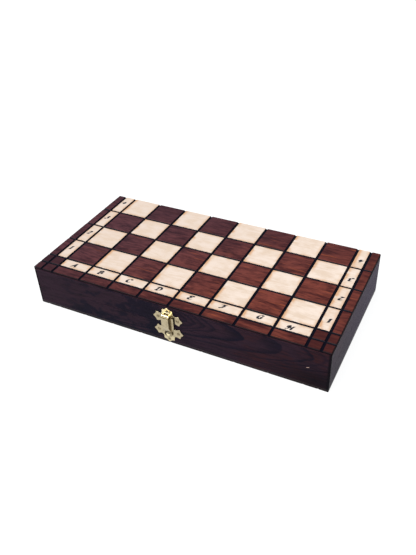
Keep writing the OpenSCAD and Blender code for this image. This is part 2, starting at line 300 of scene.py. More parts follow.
# The place of each ring's tip, the length over which it fades, and how dark it is
RINGS = ((9, 6, 0.5), (18, 6, 0.6), (27, 6, 0.7), (36, 6, 0.7), (45, 6, 0.8),
         (72, 20, 1.0), (107, 24, 0.8), (134, 7, 0.9), (147, 7, 0.5), (166, 10, 0.7),
         (186, 9, 0.5), (205, 12, 0.6), (232, 10, 0.5))


def side_figure(finish):
    """Rings, broad clouds, fibres and pores of the sides, each as a number from 0 to 1."""
    wander = finish.noise((70, 70, 26), detail=1, shift=3.1) * WANDER - WANDER / 2
    height = finish.z - ARCH_MIDDLE - wander
    ripple = finish.noise((26, 26, 6), detail=2, shift=1.7) * RIPPLE - RIPPLE / 2
    arch = finish.x + height * height * ARCH_CURVE + ripple
    rings = 0.0
    for tip, fade, share in RINGS:
        rings = arch.between(tip, tip, fade, RING_EDGE) * share + rings
    cloud = finish.noise((24, 24, 13), detail=4, rough=0.6, shift=5.5)
    fibres = finish.noise((16, 16, 0.9), detail=3, rough=0.6, shift=2.2)
    pores = finish.noise((5, 5, 0.3), detail=1, shift=9.4).ease(0.63, 0.72)
    return rings, cloud, fibres, pores


print("rings:", len(RINGS))

# %% [markdown]
# ## The stain of the sides
#
# The stain is a purple brown. It is bluish black in the rings and in clouds to the left of
# the latch, where the wood drank most of it, and warm where it stayed thin. It gathers in the
# pores, and it is darker on the rounded upright edges and low down at the right. The two ends of
# the case are lighter and more violet, most of all towards the back: partly the stain's tone, and
# partly a painted sheen, the grey-lilac reflection that they catch at a slant. A point counts as
# outside when it is within SKIN of an outer face, which is how deep the stain goes.

# %% Stain of the sides
SKIN = 0.6
STAIN_MAUVE = (0.0262, 0.0124, 0.0215)
STAIN_BLUE = (0.0056, 0.0049, 0.0135)
STAIN_WARM = (0.0350, 0.0098, 0.0115)
STAIN_BLACK = (0.0030, 0.0022, 0.0045)
END_TINT_AND_SHEEN = (0.0290, 0.0120, 0.0470)
CLOUDED = (-96, -20, 36, 50)
WARMER_ALONG = (20, 110)
DARKER_ALONG = (85, 140)
DARKER_DOWN = (34, 8)
UPRIGHT_EDGE = (3.0, 1.4)


def on_ends(finish):
    """1 on the left and right faces of the case."""
    return abs(finish.x).over(half_w - SKIN)


def near_upright_edge(finish):
    """1 on the rounded upright edges of the case, which are darker."""
    from_end = (finish.y - front_y).least(back_y - finish.y)
    return (half_w - abs(finish.x) + from_end).ease(*UPRIGHT_EDGE)


def side_colour(finish, rings, cloud, fibres, pores):
    """The stain's colour at a point of the sides."""
    clouds = finish.x.between(*CLOUDED) * cloud.ease(0.44, 0.56)
    blue = (rings * 0.95 + clouds * 0.85).least(1.0)
    warm = (finish.x.ease(*WARMER_ALONG) * 0.14 + cloud * 0.6 + fibres * 0.4).ease(0.56, 0.8)
    # Darker low down at the right.
    deeper = finish.x.ease(*DARKER_ALONG) * finish.z.ease(*DARKER_DOWN)
    # Painted sheen, with some stain tone: the ends grow lighter and more violet towards the back.
    tint_and_sheen = on_ends(finish) * finish.y.ease(front_y, back_y, 0.4, 0.95)
    colour = finish.mix(STAIN_MAUVE, STAIN_WARM, warm)
    colour = finish.mix(colour, STAIN_BLUE, blue)
    colour = finish.mix(colour, STAIN_BLACK, fibres.ease(0.56, 0.32) * 0.5)
    colour = finish.mix(colour, STAIN_BLACK, deeper * 0.75)
    colour = finish.mix(colour, END_TINT_AND_SHEEN, tint_and_sheen)
    pores_and_edges = (pores * 0.6).most(near_upright_edge(finish) * 0.9)
    return finish.mix(colour, STAIN_BLACK, pores_and_edges)


print("the stain is %.1f mm deep" % SKIN)

# %% [markdown]
# ## Stained wood
#
# Only the outside of the case was stained. Inside a tray, and on the sawn rims, the wood is
# a plain warm brown. So the finish asks how near a point is to the outside. One small chip
# at the seam shows the raw wood: such a mark tells the eye that the surface is a coat on
# timber. The chip is an ellipse, a little tilted, whose edge is broken up by noise.

# %% Rails
INSIDE_DARK = (0.115, 0.050, 0.024)
INSIDE_LIGHT = (0.250, 0.125, 0.060)
RAW_WOOD = (0.40, 0.27, 0.22)
CHIP_X, CHIP_Z = 131, 21.5
CHIP_L, CHIP_H, CHIP_TILT = 3.2, 0.8, 0.3


def outside(finish):
    """1 on the case's outer skin, and 0 on the faces inside it."""
    from_side = half_w - abs(finish.x)
    from_front = finish.y - front_y
    from_back = back_y - finish.y
    return from_side.least(from_front).least(from_back).under(SKIN)


def chipped(finish):
    """1 on the small chip in the front, next to the saw cut."""
    right = finish.x - CHIP_X
    along = right / (CHIP_L / 2)
    up = (finish.z - CHIP_Z - right * CHIP_TILT) / (CHIP_H / 2)
    on_front = finish.y.under(front_y + SKIN)
    return (along * along + up * up + finish.noise((0.8, 0.8, 0.8)) * 0.8).under(1.3) * on_front


def stained_wood():
    """The finish of the rails."""
    finish = Finish("stained_wood")
    rings, cloud, fibres, pores = side_figure(finish)
    stain = side_colour(finish, rings, cloud, fibres, pores)
    streaks = finish.noise((40, 40, 1.6), detail=3, rough=0.6, shift=11.3)
    inside = finish.mix(INSIDE_DARK, INSIDE_LIGHT, (streaks * 0.6 + cloud * 0.4).ease(0.36, 0.66))
    colour = finish.mix(inside, stain, outside(finish))
    finish.set(base_color=finish.mix(colour, RAW_WOOD, chipped(finish)),
               roughness=fibres * 0.14 + 0.40, specular_ior_level=0.03)
    finish.relief(fibres - pores * 0.8, 0.05)
    return finish.material


print("chip of %.1f x %.1f mm" % (CHIP_L, CHIP_H))

# %% [markdown]
# ## The board
#
# The playing faces are pale veneer, stained through a stencil and milled along every line.
# The pattern is arithmetic: a square's file and rank are the whole parts of its place
# divided by SQUARE, and their sum is even on one colour and odd on the other. The lines are
# inked with a brush, so the ink runs a little past the milled channel.

# %% Board pattern
FILE_LINE_W = 2.7
RANK_LINE_W = 2.3


def from_file_line(finish):
    """The way from the nearest line that runs front to back, within the squares' files."""
    return finish.x - finish.x.nearest(SQUARE, -FILES / 2, FILES / 2)


def line_distance(finish):
    """How far a point is from the edge of the nearest inked line. It is negative in a line."""
    from_hinge = back_y - finish.y
    near_file = abs(from_file_line(finish))
    near_side = abs(abs(finish.x) - band_x)
    near_rank = abs(from_hinge - from_hinge.nearest(SQUARE, 1, RANKS))
    near_front = abs(finish.y - band_y)
    return (near_file.least(near_side) - FILE_LINE_W / 2).least(
        near_rank.least(near_front) - RANK_LINE_W / 2)


def pale_places(finish, odd_is_pale):
    """1 on the pale squares and bands, 0 on the dark squares and borders."""
    file_no = (finish.x / SQUARE).floor()
    rank_no = ((back_y - finish.y) / SQUARE).floor()
    odd = (file_no + rank_no).op("PINGPONG", 1)
    pale_square = odd if odd_is_pale else 1 - odd
    in_files = abs(finish.x).under(board_x)
    in_ranks = finish.y.over(board_y)
    side_band = (1 - in_files) * in_ranks * abs(finish.x).under(band_x)
    front_band = in_files * (1 - in_ranks) * finish.y.over(band_y)
    return in_files * in_ranks * pale_square + side_band + front_band


print("inked lines %.1f and %.1f mm wide" % (FILE_LINE_W, RANK_LINE_W))

# %% [markdown]
# ## The grain of the veneer
#
# The veneer's grain runs from left to right, on every square alike, because one sheet covers
# the whole panel. So its mottles, fibres and pores are noise that is stretched along x. They
# all follow one slow sway, as they do in a trunk.

# %% Veneer grain
SWAY = 16


def veneer_grain(finish):
    """Mottles, fibres and pores of the veneer, each as a number from 0 to 1."""
    sway = finish.noise((60, 34, 60), detail=1, shift=4.4) * SWAY
    along = (finish.x, finish.y + sway, finish.z)
    mottle = finish.noise((19, 4.5, 4.5), detail=4, rough=0.6, shift=1.3, place=along)
    fibres = finish.noise((8, 0.9, 0.9), detail=3, rough=0.65, shift=6.6, place=along)
    pores = finish.noise((3.5, 0.3, 0.3), detail=1, shift=8.1, place=along).ease(0.62, 0.70)
    return mottle, fibres, pores


print("the grain sways by up to", SWAY, "mm")

# %% [markdown]
# ## Dark squares
#
# The stain is mottled, because it soaks into the soft early wood more than into the late
# wood. It is nearly purple at the back left and a warm red brown at the front right, so its
# colours are mixed by a warmth that grows that way, by a share for each millimetre. This drift is
# partly the stain and partly a painted bluish sheen at the back left. Where it took badly, the
# wood glows like a flame. The borders, and most of all the front corners, took more stain than
# the squares.

# %% Dark veneer
PLUM_DARK = (0.027, 0.0105, 0.0150)
PLUM_LIGHT = (0.088, 0.031, 0.036)
RED_DARK = (0.040, 0.0095, 0.0095)
RED_LIGHT = (0.165, 0.041, 0.028)
FLAME = (0.330, 0.080, 0.030)
WARMTH_RIGHT = 0.0038
WARMTH_FRONT = 0.0035
DULL_AT_BACK = (76, 10, 0.65, 1)
MORE_IN_FRONT = 0.2
MORE_AT_CORNERS = 0.75
MORE_AT_RIGHT = 0.3


def dark_veneer(finish, mottle, fibres, pores):
    """The stained squares and borders."""
    # Partly stain tone, partly a painted bluish sheen towards the back left.
    warmth = (finish.x * WARMTH_RIGHT - finish.y * WARMTH_FRONT + 0.5).ease(0, 1)
    patch = finish.noise((34, 26, 26), detail=2, shift=2.9)
    light = (mottle * 0.5 + fibres * 0.35 + patch * 0.25).ease(0.42, 0.68)
    light = light * finish.y.ease(*DULL_AT_BACK)
    dark = finish.mix(PLUM_DARK, RED_DARK, warmth)
    bright = finish.mix(PLUM_LIGHT, RED_LIGHT, warmth)
    flame = finish.noise((30, 2.6, 2.6), detail=2, shift=13.2).ease(0.60, 0.74)
    wood = finish.mix(finish.mix(dark, bright, light), FLAME, flame * (warmth * 0.4 + 0.1))
    front = finish.y.under(band_y) * MORE_IN_FRONT
    front_corners = finish.y.under(board_y) * abs(finish.x).over(board_x) * MORE_AT_CORNERS
    right = finish.x.over(band_x) * MORE_AT_RIGHT
    deeper = front.most(front_corners).most(right)
    return finish.mix(wood, dark, (pores * 0.6).most(deeper))


print("warmth grows by %.2f from left to right" % (2 * board_x * WARMTH_RIGHT))

# %% [markdown]
# ## Pale squares
#
# The stencil kept the pale squares and bands clean, so they are bare wood under lacquer. It is
# painted a little darker towards the back left, as shade. The milling cutter ran hot and scorched
# the wood orange along the lines, most of all at the left edge of a square. The heat came and
# went, so noise breaks the scorch up.

# %% Pale veneer
PALE = (0.668, 0.556, 0.468)
PALE_SHADED = (0.590, 0.484, 0.408)
PALE_GRAIN = (0.540, 0.415, 0.310)
SCORCH = (0.50, 0.27, 0.13)
LIGHTER_RIGHT = 0.0035
LIGHTER_FRONT = 0.002
SCORCH_LEFT = 5.0
SCORCH_ROUND = 3.4
MOST_SCORCHED = 0.85


def pale_veneer(finish, mottle, fibres, distance):
    """The squares and bands that the stencil kept clean."""
    cloud = finish.noise((13, 11, 11), detail=3, shift=9.9)
    grain = (mottle * 0.35 + fibres * 0.3 + cloud * 0.4).ease(0.44, 0.64)
    # Painted shade: darker towards the back left.
    lit_share = (finish.x * LIGHTER_RIGHT - finish.y * LIGHTER_FRONT + 0.5).ease(0, 1)
    pale = finish.mix(finish.mix(PALE_SHADED, PALE, lit_share), PALE_GRAIN, grain * 0.75)
    heat = finish.noise((9, 9, 9), detail=2, shift=7.7).ease(0.32, 0.60)
    way = from_file_line(finish)
    left_edge = way.ease(FILE_LINE_W / 2 + SCORCH_LEFT, FILE_LINE_W / 2) * way.over(0)
    any_edge = distance.ease(SCORCH_ROUND, 0)
    in_band = finish.y.under(board_y).most(abs(finish.x).over(board_x))
    share = left_edge * (in_band * 0.25 + 0.5) + any_edge * 0.55
    return finish.mix(pale, SCORCH, (share * heat).least(MOST_SCORCHED))


print("scorched up to %.1f mm from a square's left line" % SCORCH_LEFT)

# %% [markdown]
# ## A panel
#
# A panel's finish puts the dark and the pale veneer in their places, goes over into the stain
# of the sides at the edge, and inks the lines, whose edge wavers as a brush does. The face is
# darker close to its edge. Along the rounded edge runs a dark strip of painted shade, where the
# rounding reflects less light, and under it a thin lighter line is painted: partly the
# rounding's highlight, partly stain rubbed through by sanding. The mesh rounds this edge by
# less than a millimetre. The last three millimetres of a side lean back a little more, which is
# too slight for the mesh, so it is relief.

# %% Panel
INK = (0.0028, 0.0026, 0.0065)
RUBBED_AND_LIT = (0.055, 0.020, 0.022)
EDGE_DARK = (0.0052, 0.0030, 0.0050)
INK_DEPTH = 1.3
INK_EDGE = (0.08, -0.04)
STRIP_DOWN_TO = (2.0, 1.5)
STRIP_MORE_ON_ENDS = 1.4
RUBBED_AND_LIT_LINE = (1.9, 2.2, 0.3, 0.4)
DARK_RIM = (1.1, 0.5)
FACE_TO_SIDE = (0.35, 0.75)
LEAN_FROM = 3.4
LEAN_DEPTH = 1.6
WAVER = 0.5


def board_wood(name, depth_of, odd_is_pale):
    """A panel's finish. depth_of gives how far a point lies below the playing face."""
    finish = Finish(name)
    depth = depth_of(finish.z)
    mottle, fibres, pores = veneer_grain(finish)
    waver = finish.noise((2.5, 2.5, 2.5), shift=3.3) * WAVER - WAVER / 2
    distance = line_distance(finish) + waver
    face = finish.mix(dark_veneer(finish, mottle, fibres, pores),
                      pale_veneer(finish, mottle, fibres, distance),
                      pale_places(finish, odd_is_pale))
    from_edge = (finish.y - front_y).least(half_w - abs(finish.x))
    face = finish.mix(face, EDGE_DARK, from_edge.ease(*DARK_RIM) * 0.85)
    side = side_colour(finish, *side_figure(finish))
    ends = on_ends(finish)
    # Painted shade: a dark strip on the rounded edge, reaching further down on the ends.
    strip = (depth - ends * STRIP_MORE_ON_ENDS).ease(*STRIP_DOWN_TO)
    side = finish.mix(side, EDGE_DARK, strip * 0.92)
    # A thin lighter line: partly painted highlight of the rounding, partly stain rubbed through.
    rubbed_and_lit = depth.between(*RUBBED_AND_LIT_LINE) * (1 - ends)
    side = finish.mix(side, RUBBED_AND_LIT, rubbed_and_lit * fibres.ease(0.38, 0.6) * 0.6)
    colour = finish.mix(face, side, depth.ease(*FACE_TO_SIDE))
    inked = distance.ease(*INK_EDGE) * depth.under(INK_DEPTH)
    finish.set(base_color=finish.mix(colour, INK, inked),
               roughness=fibres * 0.12 + 0.34, specular_ior_level=0.05)
    finish.relief(depth.ease(0.0, LEAN_FROM), LEAN_DEPTH)
    finish.relief(fibres - pores * 0.6, 0.03)
    return finish.material


print("ink reaches %.1f mm down a channel" % INK_DEPTH)

# %% [markdown]
# ## Dress the wood
#
# Carried-over pieces keep their mesh, and only their material changes. All eight rails share
# one finish, so the figure runs round the case. The two panels differ in which squares are
# pale and in which way is down.

# %% Dress the wood
def dress(names, material):
    """Gives carried-over pieces a material."""
    for name in names:
        nodes[name].data.materials.clear()
        nodes[name].data.materials.append(material)


RAILS = [half + side for half in ("lower_", "upper_")
         for side in ("front_rail", "back_rail", "left_rail", "right_rail")]
dress(RAILS, stained_wood())
dress(["upper_panel"], board_wood("upper_board", lambda z: top_z - z, odd_is_pale=False))
dress(["lower_panel"], board_wood("lower_board", lambda z: z, odd_is_pale=True))
print("wood on", len(RAILS) + 2, "pieces")

# %% [markdown]
# ## A broad pen
#
# The coordinates are written with a broad pen, which is thick in one direction and thin in
# the other. That is easy to imitate: the pen's edge is a short line at a fixed angle, and a
# stroke is what this line sweeps over. Each sign is a few strokes through listed points, in a
# box one unit wide and high. A smooth curve through the points takes few of them, and a corner
# is where one stroke ends and the next begins.

# %% Signs
SIGNS = {
    "A": [[(0.0, 0.06), (0.12, 0.02), (0.32, 0.4), (0.66, 1.0)],
          [(0.54, 0.9), (0.66, 1.0), (0.72, 0.5), (0.84, 0.02), (0.96, 0.06)],
          [(0.24, 0.36), (0.74, 0.38)]],
    "B": [[(0.32, 0.96), (0.26, 0.5), (0.16, 0.02)],
          [(0.08, 0.84), (0.3, 1.0), (0.64, 1.0), (0.82, 0.82), (0.66, 0.6), (0.4, 0.54)],
          [(0.4, 0.54), (0.76, 0.48), (0.84, 0.24), (0.6, 0.03), (0.3, 0.0), (0.1, 0.08)]],
    "C": [[(0.88, 0.76), (0.84, 0.94), (0.62, 1.0), (0.32, 0.84), (0.14, 0.48), (0.22, 0.12),
           (0.46, 0.0), (0.72, 0.04), (0.92, 0.2)]],
    "D": [[(0.34, 0.96), (0.28, 0.5), (0.18, 0.03)],
          [(0.02, 0.8), (0.26, 1.0), (0.66, 0.98), (0.94, 0.68), (0.88, 0.28), (0.56, 0.02),
           (0.2, 0.0), (0.06, 0.1)]],
    "E": [[(0.88, 0.82), (0.74, 1.0), (0.44, 0.98), (0.3, 0.8), (0.4, 0.6), (0.64, 0.54)],
          [(0.6, 0.54), (0.28, 0.48), (0.1, 0.24), (0.22, 0.04), (0.52, 0.0), (0.84, 0.2)],
          [(0.04, 0.84), (0.24, 0.98), (0.44, 0.94)]],
    "F": [[(0.1, 0.82), (0.26, 0.97), (0.6, 0.92), (1.0, 1.0)],
          [(0.62, 0.94), (0.54, 0.5), (0.36, 0.1), (0.14, 0.0), (0.0, 0.14)],
          [(0.3, 0.5), (0.5, 0.54), (0.8, 0.52)]],
    "G": [[(0.9, 0.8), (0.8, 0.96), (0.6, 1.0), (0.32, 0.84), (0.14, 0.48), (0.22, 0.14),
           (0.46, 0.04), (0.7, 0.18), (0.8, 0.46)],
          [(0.54, 0.46), (0.94, 0.48)],
          [(0.8, 0.46), (0.76, 0.2), (0.66, 0.0), (0.5, -0.08)]],
    "H": [[(0.08, 0.74), (0.2, 0.96), (0.4, 0.92), (0.42, 0.6), (0.3, 0.2), (0.1, 0.02),
           (-0.04, 0.1)],
          [(0.08, 0.72), (0.14, 0.56), (0.32, 0.56), (0.42, 0.7)],
          [(1.08, 1.0), (0.94, 0.7), (0.84, 0.3), (0.86, 0.04), (1.0, 0.06)],
          [(0.4, 0.5), (0.86, 0.52)]],
    "1": [[(0.2, 0.94), (0.6, 1.0)], [(0.42, 0.98), (0.4, 0.5), (0.38, 0.02)],
          [(0.16, 0.0), (0.6, 0.04)]],
    "2": [[(0.16, 0.74), (0.32, 0.97), (0.58, 0.97), (0.68, 0.76), (0.52, 0.46), (0.24, 0.16),
           (0.06, 0.0)],
          [(0.06, 0.02), (0.3, 0.07), (0.52, 0.0), (0.74, 0.1)]],
    "3": [[(0.2, 0.84), (0.42, 1.0), (0.66, 0.9), (0.6, 0.66), (0.36, 0.54)],
          [(0.36, 0.54), (0.64, 0.47), (0.68, 0.22), (0.44, 0.0), (0.18, 0.02), (0.06, 0.14)]],
    "4": [[(0.54, 1.0), (0.32, 0.62), (0.06, 0.3)], [(0.06, 0.3), (0.4, 0.34), (0.78, 0.32)],
          [(0.6, 0.68), (0.52, 0.3), (0.46, 0.0)]],
    "5": [[(0.7, 0.98), (0.32, 0.98)], [(0.32, 0.98), (0.22, 0.56)],
          [(0.22, 0.56), (0.44, 0.62), (0.64, 0.44), (0.56, 0.14), (0.3, 0.0), (0.08, 0.08)]],
    "6": [[(0.66, 0.96), (0.38, 0.8), (0.16, 0.42), (0.18, 0.1), (0.4, 0.0), (0.62, 0.16),
           (0.6, 0.42), (0.38, 0.52), (0.2, 0.38)]],
    "7": [[(0.1, 0.82), (0.16, 0.98), (0.42, 0.94), (0.74, 0.98)],
          [(0.74, 0.98), (0.46, 0.56), (0.28, 0.0)]],
    "8": [[(0.62, 0.82), (0.42, 1.0), (0.22, 0.86), (0.3, 0.62), (0.56, 0.38), (0.52, 0.1),
           (0.3, 0.0), (0.1, 0.14), (0.2, 0.42), (0.54, 0.64), (0.62, 0.82)]],
}

print("signs drawn:", len(SIGNS))

# %% [markdown]
# ## A stroke
#
# A stroke becomes a thin ribbon: at each step along its curve the ribbon's two sides lie at
# the two ends of the pen's edge. The ribbon is never thinner than a hair line, which the
# pen's own thickness leaves. The signs lean to the right, as italic writing does.

# %% Pen strokes
SIGN_H = 5.0
SIGN_W = 5.2
SLANT = 0.16
PEN_W = 1.7
PEN_ANGLE = math.radians(28)
HAIR_LINE = 0.55
STEPS = 6


def smooth(points, steps):
    """A smooth curve through the points."""
    ends = [points[0], *points, points[-1]]
    curve = []
    for before, start, end, after in zip(ends, ends[1:], ends[2:], ends[3:]):
        for step in range(steps):
            t = step / steps
            curve.append((2 * start + (end - before) * t
                          + (2 * before - 5 * start + 4 * end - after) * t * t
                          + (3 * start - before - 3 * end + after) * t ** 3) / 2)
    return curve + [points[-1]]


def ribbon(points):
    """The two sides of a stroke, in millimetres from the middle of its sign."""
    places = [Vector(((x - 0.5) * SIGN_W + SLANT * (y - 0.5) * SIGN_H, (y - 0.5) * SIGN_H))
              for x, y in points]
    curve = smooth(places, STEPS)
    pen = Vector((math.cos(PEN_ANGLE), math.sin(PEN_ANGLE))) * PEN_W / 2
    left, right = [], []
    for i, here in enumerate(curve):
        way = curve[min(i + 1, len(curve) - 1)] - curve[max(i - 1, 0)]
        across = Vector((-way.y, way.x)).normalized() * HAIR_LINE / 2
        if across.dot(pen) < 0:
            across.negate()
        left.append(here + pen + across)
        right.append(here - pen - across)
    return left, right


print("points along the stroke of a 1:", len(ribbon(SIGNS["1"][1])[0]))

# %% [markdown]
# ## Writing
#
# All the signs of one panel are one mesh. They lie two hundredths of a millimetre proud of
# the wood, as ink under lacquer does. Each stroke of a sign lies a little higher than the one
# before it, so that two strokes never share a surface.

# %% Write signs
INK_PROUD = 0.02
INK_LAYER = 0.008


def write(signs, name, body, height, up):
    """Writes signs on a face. Each has its text, its place, and +1 or -1 along x and y."""
    verts, faces = [], []
    for text, place_x, place_y, x_way, y_way in signs:
        for layer, stroke in enumerate(SIGNS[text]):
            left, right = ribbon(stroke)
            first = len(verts)
            level = height + up * layer * INK_LAYER
            for a, b in zip(left, right):
                verts += [(place_x + p.x * x_way, place_y + p.y * y_way, level) for p in (a, b)]
            faces += [(k, k + 1, k + 3, k + 2) for k in range(first, len(verts) - 2, 2)]
    mesh = bpy.data.meshes.new(name)
    mesh.from_pydata([Vector(v) * MM for v in verts], [], faces)
    for polygon in mesh.polygons:
        if polygon.normal.z * up < 0:
            polygon.flip()
    piece = bpy.data.objects.new(name, mesh)
    bpy.context.scene.collection.objects.link(piece)
    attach(piece, body)
    return piece


print("ink lies %.2f mm proud" % INK_PROUD)

# %% [markdown]
# ## The coordinates
#
# The letters run along the front band. The ranks stand at both sides: upright for White at
# the left, and turned round for Black at the right. The signs were set down one by one, so
# each slips a little from its middle. The lower panel carries the far half of the board,
# face down in the closed box, so its letters are turned for the player at that side.

# %% Coordinates
PEN_INK_DARK = (0.012, 0.012, 0.018)
PEN_INK_LIGHT = (0.035, 0.033, 0.040)
LETTER_SLIP = {"A": (-1.4, -0.3), "B": (-3.0, 0.1), "C": (-3.0, 0.0), "D": (-2.9, 0.4),
               "E": (-2.1, 0.7), "F": (-2.1, 0.8), "G": (0.6, 1.0), "H": (-3.6, -1.4)}
RANK_SLIP_X = -0.6
RANK_SLIPS = ((4.2, 3.0), (2.0, 3.2), (1.2, 1.5), (1.9, 2.2))


def half_board(ranks, far_half):
    """The signs of one half of the board, as its own player reads it from above."""
    way = -1 if far_half else 1
    signs = []
    for i, (letter, (slip_x, slip_y)) in enumerate(LETTER_SLIP.items()):
        signs.append((letter, (i - (FILES - 1) / 2) * SQUARE + slip_x * way,
                      (board_y + band_y) / 2 + slip_y, way, 1))
    for i, (rank, slips) in enumerate(zip(ranks, RANK_SLIPS)):
        middle = back_y - (i + 0.5) * SQUARE
        for turn, slip_y in zip((1, -1), slips):
            signs.append((rank, turn * (RANK_SLIP_X - board_x - BAND / 2),
                          middle + slip_y * turn * way, turn, turn * way))
    return signs


ink = Finish("ink")
ink.set(base_color=ink.mix(PEN_INK_DARK, PEN_INK_LIGHT, ink.noise((0.7, 0.7, 0.7)).ease(0.4, 0.7)),
        roughness=0.5, specular_ior_level=0.2)
upper_signs = write(half_board("4321", False), "upper_coordinates", "upper_half",
                    top_z + INK_PROUD, 1)
lower_signs = write(half_board("5678", True), "lower_coordinates", "lower_half",
                    -INK_PROUD, -1)
for piece in (upper_signs, lower_signs):
    piece.data.materials.append(ink.material)
print("signs on each panel:", len(half_board("4321", False)))

# %% [markdown]
# ## Felt
#
# Each tray is lined with a sheet of green felt, glued to its floor, so that the chessmen do
# not rattle. Its fibres are noise at two scales, over a third that stands for wear, and a
# soft sheen shows where they are seen edge on.

# %% Felt
FELT_DARK = (0.018, 0.050, 0.026)
FELT_LIGHT = (0.060, 0.125, 0.072)
FELT_SHEEN = (0.55, 0.70, 0.58)


def felt_finish():
    """The finish of both sheets."""
    finish = Finish("felt")
    tufts = finish.noise((2.2, 2.2, 2.2), detail=3, shift=3.0)
    hairs = finish.noise((0.5, 0.9, 0.5), detail=3, rough=0.7, shift=6.0)
    wear = finish.noise((45, 45, 45), detail=2, shift=1.0)
    pile = (tufts * 0.4 + hairs * 0.4 + wear * 0.3).ease(0.38, 0.74)
    finish.set(base_color=finish.mix(FELT_DARK, FELT_LIGHT, pile),
               roughness=0.95, specular_ior_level=0.15, sheen_weight=0.35,
               sheen_roughness=0.5, sheen_tint=FELT_SHEEN)
    finish.relief(tufts * 0.5 + hairs * 0.5, 0.3)
    return finish.material


felt = felt_finish()
print("the felt's finish has", len(felt.node_tree.nodes), "nodes")

# %% [markdown]
# ## A sheet with a cut edge
#
# The sheet is a grid of small cells with a thickness: a face, a glued side and a rim between
# them. The face sinks by up to a tenth of a millimetre over the glue, in waves whose lengths
# share no factor, so that no pattern repeats. The cut edge is rounded off.

# %% Felt sheets
FELT_CELL = 5.0
FELT_WAVE = 0.05
FELT_EDGE = 0.3


def glue_wave(x, y):
    """How far the face of the felt sinks at a place, in millimetres."""
    return FELT_WAVE * (1 + math.sin(x / 13 + y / 31) * math.sin(y / 11 - x / 47))


def felt_mesh(name, low, high, up):
    """A grid with a thickness between two corners. Up is the side that its face is on."""
    cols = round((high.x - low.x) / FELT_CELL)
    rows = round((high.y - low.y) / FELT_CELL)
    glued, face = (low.z, high.z) if up > 0 else (high.z, low.z)
    verts, faces = [], []
    for level in (face, glued):
        for j in range(rows + 1):
            for i in range(cols + 1):
                x = low.x + (high.x - low.x) * i / cols
                y = low.y + (high.y - low.y) * j / rows
                sunk = glue_wave(x, y) * up if level == face else 0
                verts.append(Vector((x, y, level - sunk)) * MM)
    layer = (rows + 1) * (cols + 1)
    for j in range(rows):
        for i in range(cols):
            a = j * (cols + 1) + i
            cell = (a, a + 1, a + cols + 2, a + cols + 1)
            faces += [cell, tuple(layer + k for k in reversed(cell))]
    last_row = rows * (cols + 1)
    rim = [*range(cols), *range(cols, last_row + cols, cols + 1),
           *range(last_row + cols, last_row, -1), *range(last_row, 0, -cols - 1)]
    for a, b in zip(rim, rim[1:] + rim[:1]):
        faces.append((b, a, a + layer, b + layer))
    mesh = bpy.data.meshes.new(name)
    mesh.from_pydata(verts, [], faces if up > 0 else [tuple(reversed(f)) for f in faces])
    return mesh


def felt_sheet(node, body, up, material):
    """A felt sheet in the place of its plain solid. Up is the side that its face is on."""
    low, high = corners(node)
    mesh = felt_mesh(node + "_felt", low, high, up)
    mesh.materials.append(material)
    piece = bpy.data.objects.new(node + "_felt", mesh)
    bpy.context.scene.collection.objects.link(piece)
    bevel = piece.modifiers.new("cut edge", "BEVEL")
    bevel.width = FELT_EDGE * MM
    bevel.segments = 3
    bevel.angle_limit = math.radians(50)
    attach(piece, body)
    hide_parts(node)
    return piece


for half, up in (("lower", 1), ("upper", -1)):
    sheet = felt_sheet(half + "_lining", half + "_half", up, felt)
    print(sheet.name, "%.0f x %.0f mm" % (sheet.dimensions.x / MM, sheet.dimensions.y / MM))

# %% [markdown]
# ## Brass
#
# The latch is stamped from thin sheet and plated a pale brass. Handling has dulled it in clouds,
# specks and round the nails. Its hollows are painted brown and black as shade and shadow, and the
# parts that face the light carry painted highlights, partly polish where a finger rubs it. The
# stamp leaves soft dents, which break the reflections up. The hinges and the nails have aged
# evenly: the hinges are a yellower brass, and the nails are browner, because no finger polishes
# them.

# %% Brass
BRIGHT = (0.462, 0.392, 0.253)
POLISHED_AND_LIT = (0.900, 0.780, 0.470)
TARNISH_AND_SHADE = (0.150, 0.105, 0.045)
PAINTED_SHADOW = (0.012, 0.009, 0.006)
HINGE_GOLD = (0.52, 0.40, 0.18)
NAIL_BROWN = (0.31, 0.25, 0.16)


def brass(name, colour, marks, dents):
    """Plated sheet. The marks are shares of polish and painted highlight, of tarnish and
    painted shade, and of painted shadow, each from 0 to 1.
    """
    finish = Finish(name)
    polish_and_highlight, dull_and_shade, shadow_share = marks(finish)
    cloud = finish.noise((3.2, 3.2, 3.2), detail=3, shift=2.0)
    speck = finish.noise((0.8, 0.8, 0.8), detail=2, shift=5.0)
    # Tarnish in clouds and specks, plus the marks' dullness, which in the hasp's hollows is
    # painted shade.
    tarnish_and_shade = cloud.ease(0.46, 0.72) * 0.3 + speck.ease(0.58, 0.74) * 0.25 + dull_and_shade
    # The light colour is polish and painted highlight; the dark one is tarnish and painted shade.
    metal = finish.mix(finish.mix(colour, POLISHED_AND_LIT, polish_and_highlight), TARNISH_AND_SHADE, tarnish_and_shade.least(1.0))
    # Painted shadow, nearly black, in the gaps and creases.
    finish.set(base_color=finish.mix(metal, PAINTED_SHADOW, shadow_share), metallic=1.0,
               roughness=cloud * 0.16 + 0.22)
    finish.relief(finish.noise((1.8, 1.8, 1.8), detail=2, shift=8.0), dents)
    return finish.material


def no_marks(finish):
    """For pieces that have aged evenly."""
    return 0.0, 0.0, 0.0


hinges = [name for name in nodes if "hinge" in name and "nails" not in name]
nails = [name for name in nodes if "nails" in name]
dress([*hinges, "latch_pin"], brass("hinge_brass", HINGE_GOLD, no_marks, dents=0.03))
dress(nails, brass("nail_brass", NAIL_BROWN, no_marks, dents=0.02))
print("plain brass on", len(hinges) + 1 + len(nails), "pieces")

